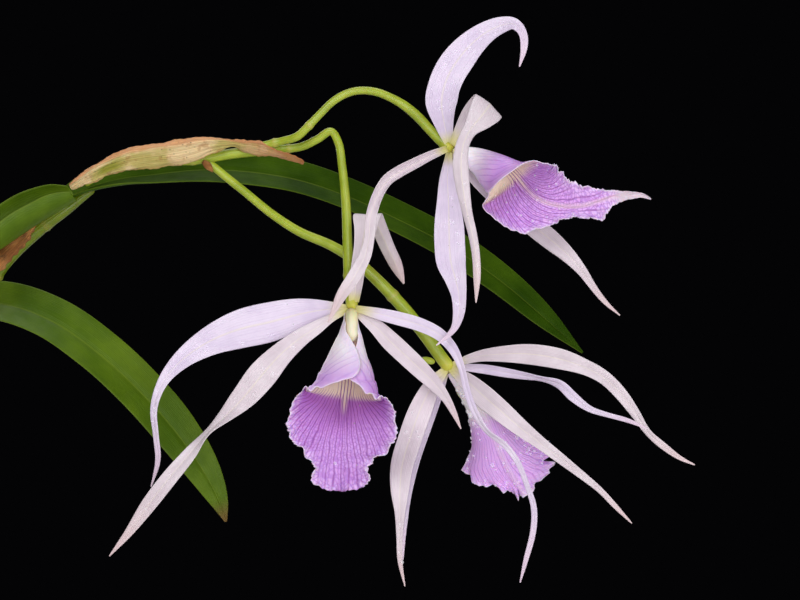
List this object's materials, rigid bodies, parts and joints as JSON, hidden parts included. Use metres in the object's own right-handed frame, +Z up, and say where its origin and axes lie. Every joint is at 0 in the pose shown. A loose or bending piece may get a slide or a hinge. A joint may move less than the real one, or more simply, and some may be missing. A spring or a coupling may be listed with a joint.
{
  "type": "potted brassocattleya orchid",
  "caption": "Slender cattleya-type orchid in a clay pot, with arching leaves and a spray of narrow white flowers with frilled lilac lips.",
  "frame": {"origin": "middle of the pot's foot, on the surface that the pot stands on", "axes": "+Z up, +X from the pot towards the flowers, -Y towards the viewer that the front flower faces"},
  "size_m": [0.5329, 0.3116, 0.4017],
  "materials": {
    "pot": "matte",
    "growing_medium": "matte",
    "cane": "satin",
    "root": "matte",
    "leaf": "satin",
    "dry_sheath": "matte",
    "flower_stalk": "satin",
    "tepal": "matte",
    "lip": "matte",
    "column": "satin"
  },
  "bodies": {
    "root": {"pot": "pot", "growing_medium": "growing_medium", "rhizome": "cane", "cane_flowering": "cane", "cane_second": "cane", "cane_left": "cane", "cane_back": "cane", "root_front": "root", "root_left": "root", "root_back": "root", "root_hanging": "root", "leaf_right": "leaf", "leaf_left": "leaf", "leaf_lower": "leaf", "leaf_second_back": "leaf", "leaf_far_left": "leaf", "leaf_front": "leaf", "leaf_back": "leaf", "sheath_upper": "dry_sheath", "husk_flowering": "dry_sheath", "husk_second": "dry_sheath", "husk_left": "dry_sheath", "husk_back": "dry_sheath", "spathe": "dry_sheath", "bract": "dry_sheath", "flower_stalk": "flower_stalk", "pedicel_1": "flower_stalk", "pedicel_2": "flower_stalk", "pedicel_3": "flower_stalk", "small_bud": "flower_stalk", "flower_1_dorsal_sepal": "tepal", "flower_1_left_petal": "tepal", "flower_1_left_sepal": "tepal", "flower_1_right_petal": "tepal", "flower_1_right_sepal": "tepal", "flower_2_dorsal_sepal": "tepal", "flower_2_near_petal": "tepal", "flower_2_far_petal": "tepal", "flower_2_lower_sepal": "tepal", "flower_2_far_sepal": "tepal", "flower_3_dorsal_sepal": "tepal", "flower_3_left_petal": "tepal", "flower_3_left_sepal": "tepal", "flower_3_right_petal": "tepal", "flower_3_right_sepal": "tepal", "flower_1_lip": "lip", "flower_1_column": "column", "flower_2_lip": "lip", "flower_2_column": "column", "flower_3_lip": "lip", "flower_3_column": "column"}
  },
  "joints": []
}
